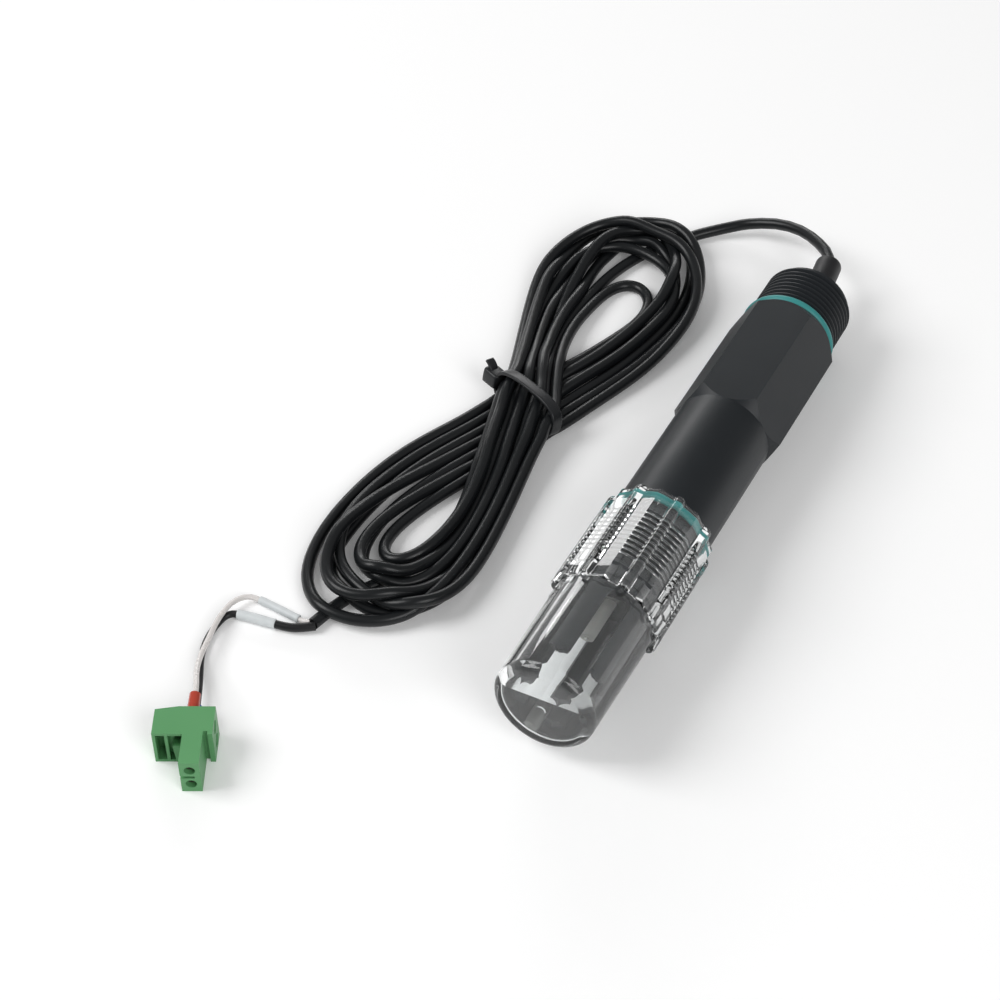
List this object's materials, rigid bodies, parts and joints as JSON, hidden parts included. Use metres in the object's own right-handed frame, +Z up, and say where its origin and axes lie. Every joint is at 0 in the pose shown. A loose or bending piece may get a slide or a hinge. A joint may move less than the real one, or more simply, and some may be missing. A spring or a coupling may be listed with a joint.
{
  "type": "redox sensor kit",
  "caption": "Redox probe with threaded body, clear storage cap, tied cable with marked cores and a screw-clamp plug, for measuring oxidation-reduction potential in water.",
  "frame": {"origin": "centre of the probe's footprint on the table, under the middle of its length", "axes": "+Y along the probe from its storage cap to its cable, +Z up from the table, +X right"},
  "size_m": [0.1127, 0.2676, 0.033],
  "materials": {
    "body": "satin dark moulded plastic",
    "o_ring": "smooth teal elastomer",
    "clear_cap": "clear moulded plastic",
    "solution": "clear liquid",
    "stem_glass": "frosted glass",
    "platinum": "bright metal",
    "electrode_plug": "dark moulded plastic",
    "frit": "porous ceramic",
    "silver": "drawn silver wire",
    "gel": "clear salt gel",
    "seal": "soft disc",
    "potting": "cast resin",
    "gland": "moulded sleeve",
    "cable": "satin jacket",
    "tie": "nylon strap",
    "core_insulation": "clear insulation over copper",
    "shield_insulation": "shrunk sleeve",
    "marker": "white sleeve, bare",
    "ferrule_red": "red collar",
    "ferrule_blue": "blue collar",
    "tinned_copper": "tinned",
    "plug_green": "green moulded plastic",
    "contact": "tinned brass",
    "clamp": "plated steel"
  },
  "bodies": {
    "probe": {"body_shell": "body", "front_o_ring": "o_ring", "rear_o_ring": "o_ring", "electrode_plug": "electrode_plug", "sensing_stem": "stem_glass", "platinum_pin": "platinum", "sensing_lead": "silver", "reference_frits": "frit", "reference_wire": "silver", "reference_gel": "gel", "gel_seal": "seal", "rear_potting": "potting", "cable_gland": "gland", "cable_lead": "cable", "cable_tail": "cable", "cable_hank": "cable", "cable_tie": "tie", "core_wire": "core_insulation", "shield_wire": "shield_insulation", "core_marker": "marker", "shield_marker": "marker", "core_ferrule": "ferrule_red", "core_ferrule_pin": "tinned_copper", "shield_ferrule": "ferrule_blue", "shield_ferrule_pin": "tinned_copper", "terminal_housing": "plug_green", "contact_1": "contact", "contact_2": "contact"},
    "solution": {"storage_solution": "solution"},
    "cap": {"protective_cap": "clear_cap"},
    "screw_1": {"clamp_screw_1": "clamp"},
    "cage_1": {"clamp_cage_1": "clamp"},
    "screw_2": {"clamp_screw_2": "clamp"},
    "cage_2": {"clamp_cage_2": "clamp"}
  },
  "joints": [
    {"name": "cap_travel", "type": "slide", "parent": "probe", "child": "solution", "axis": [0, -0.9997, 0.0244], "range_m": [0, 0.0182]},
    {"name": "cap_turn", "type": "hinge", "parent": "solution", "child": "cap", "pos_m": [0, -0.02864, 0.01593], "axis": [0, -0.9997, 0.0244], "range_deg": [0, 3600]},
    {"name": "screw_1_turn", "type": "hinge", "parent": "probe", "child": "screw_1", "pos_m": [-0.07703, -0.1341, 0.00286], "axis": [0.8988, 0.4384, 0], "range_deg": [0, 1584]},
    {"name": "cage_1_travel", "type": "slide", "parent": "probe", "child": "cage_1", "axis": [-0.8988, -0.4384, 0], "range_m": [0, 0.0022]},
    {"name": "screw_2_turn", "type": "hinge", "parent": "probe", "child": "screw_2", "pos_m": [-0.07703, -0.1341, 0.00794], "axis": [0.8988, 0.4384, 0], "range_deg": [0, 1584]},
    {"name": "cage_2_travel", "type": "slide", "parent": "probe", "child": "cage_2", "axis": [-0.8988, -0.4384, 0], "range_m": [0, 0.0022]}
  ],
  "couplings": [
    {"joint": "cap_travel", "follows": "cap_turn", "m_per_rad": 0.00028871},
    {"joint": "screw_1_turn", "follows": "cage_1_travel", "rad_per_m": 12566},
    {"joint": "screw_2_turn", "follows": "cage_2_travel", "rad_per_m": 12566}
  ]
}
